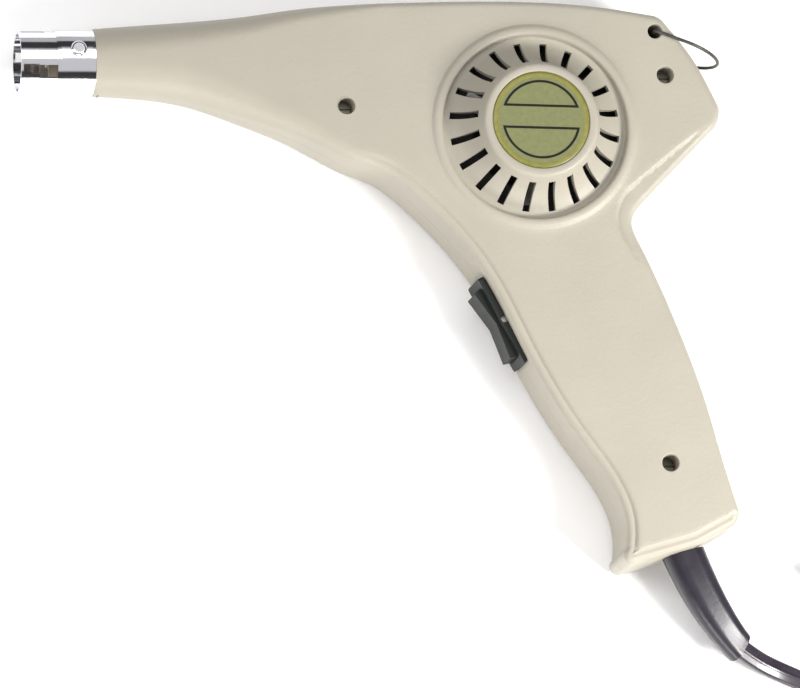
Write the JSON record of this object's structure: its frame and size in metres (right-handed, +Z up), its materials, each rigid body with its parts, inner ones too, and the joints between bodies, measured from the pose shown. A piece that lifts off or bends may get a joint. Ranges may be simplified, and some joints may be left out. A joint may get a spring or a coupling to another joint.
{
  "type": "heat gun",
  "caption": "Small pistol-shaped electric heat gun lying on its side, with a round slotted vent dome, plated nozzle, rocker switch, wire hanging bail and flat mains cord.",
  "frame": {"origin": "middle of the housing's footprint, on the surface it lies on", "axes": "+X from the nozzle to the rear, +Y from the grip up to the barrel, +Z up through the thickness towards the vent dome"},
  "size_m": [0.3273, 0.2121, 0.0362],
  "materials": {
    "housing": "satin ivory moulding",
    "label": "printed olive plate",
    "fastener": "blackened steel",
    "nozzle": "bright plated",
    "heater_steel": "plain steel",
    "mica": "mica sheet",
    "resistance_wire": "oxidised wire",
    "brass": "plain brass",
    "blower": "black moulding",
    "magnet": "ferrite and carbon",
    "copper": "enamelled copper",
    "end_cap": "phenolic",
    "switch": "black satin moulding",
    "bail_wire": "spring wire",
    "board": "phenolic board",
    "diode": "black epoxy",
    "lead": "insulated wire",
    "boot": "dark grey PVC",
    "cord": "dark grey PVC",
    "tie": "black tie"
  },
  "bodies": {
    "housing": {"blower_scroll": "blower", "bracket_screws": "fastener", "brush_holders": "brass", "clamp_screws": "fastener", "coil_tie": "tie", "collar_rivet": "nozzle", "cord_clamp": "end_cap", "cord_coil": "cord", "cord_end": "cord", "cord_lead": "cord", "cord_stub": "cord", "ground_pin": "brass", "heater_coil": "resistance_wire", "heater_leads": "lead", "heater_tube": "heater_steel", "inlet_plate": "blower", "label_disc": "label", "left_shell": "housing", "mica_board_flat": "mica", "mica_board_upright": "mica", "mica_sleeve": "mica", "motor_bearings": "brass", "motor_bracket": "heater_steel", "motor_brushes": "magnet", "motor_can": "heater_steel", "motor_end_cap": "end_cap", "motor_leads": "lead", "motor_magnets": "magnet", "nozzle_collar": "nozzle", "nozzle_tube": "nozzle", "plug_blades": "brass", "plug_body": "cord", "rectifier_board": "board", "rectifier_diodes": "diode", "right_shell": "housing", "rocker_pin": "fastener", "shell_screws": "fastener", "strain_relief": "boot", "supply_leads": "lead", "switch_body": "switch", "switch_terminals": "brass", "thermal_cutout": "brass"},
    "fan_rotor": {"motor_shaft": "heater_steel", "impeller": "blower", "armature_core": "heater_steel", "armature_windings": "copper", "commutator": "brass"},
    "rocker": {"rocker": "switch"},
    "hang_bail": {"hang_bail": "bail_wire"}
  },
  "joints": [
    {"name": "fan_spin", "type": "hinge", "parent": "housing", "child": "fan_rotor", "pos_m": [0.04623, 0.0458, 0.01], "axis": [0, 0, 1], "continuous": true},
    {"name": "rocker_tilt", "type": "hinge", "parent": "housing", "child": "rocker", "pos_m": [0.03594, -0.01053, 0.013], "axis": [0, 0, 1], "range_deg": [-9, 9]},
    {"name": "bail_swing", "type": "hinge", "parent": "housing", "child": "hang_bail", "pos_m": [0.08333, 0.0747, 0.0139], "axis": [0, 0, 1], "range_deg": [-4, 150]}
  ]
}
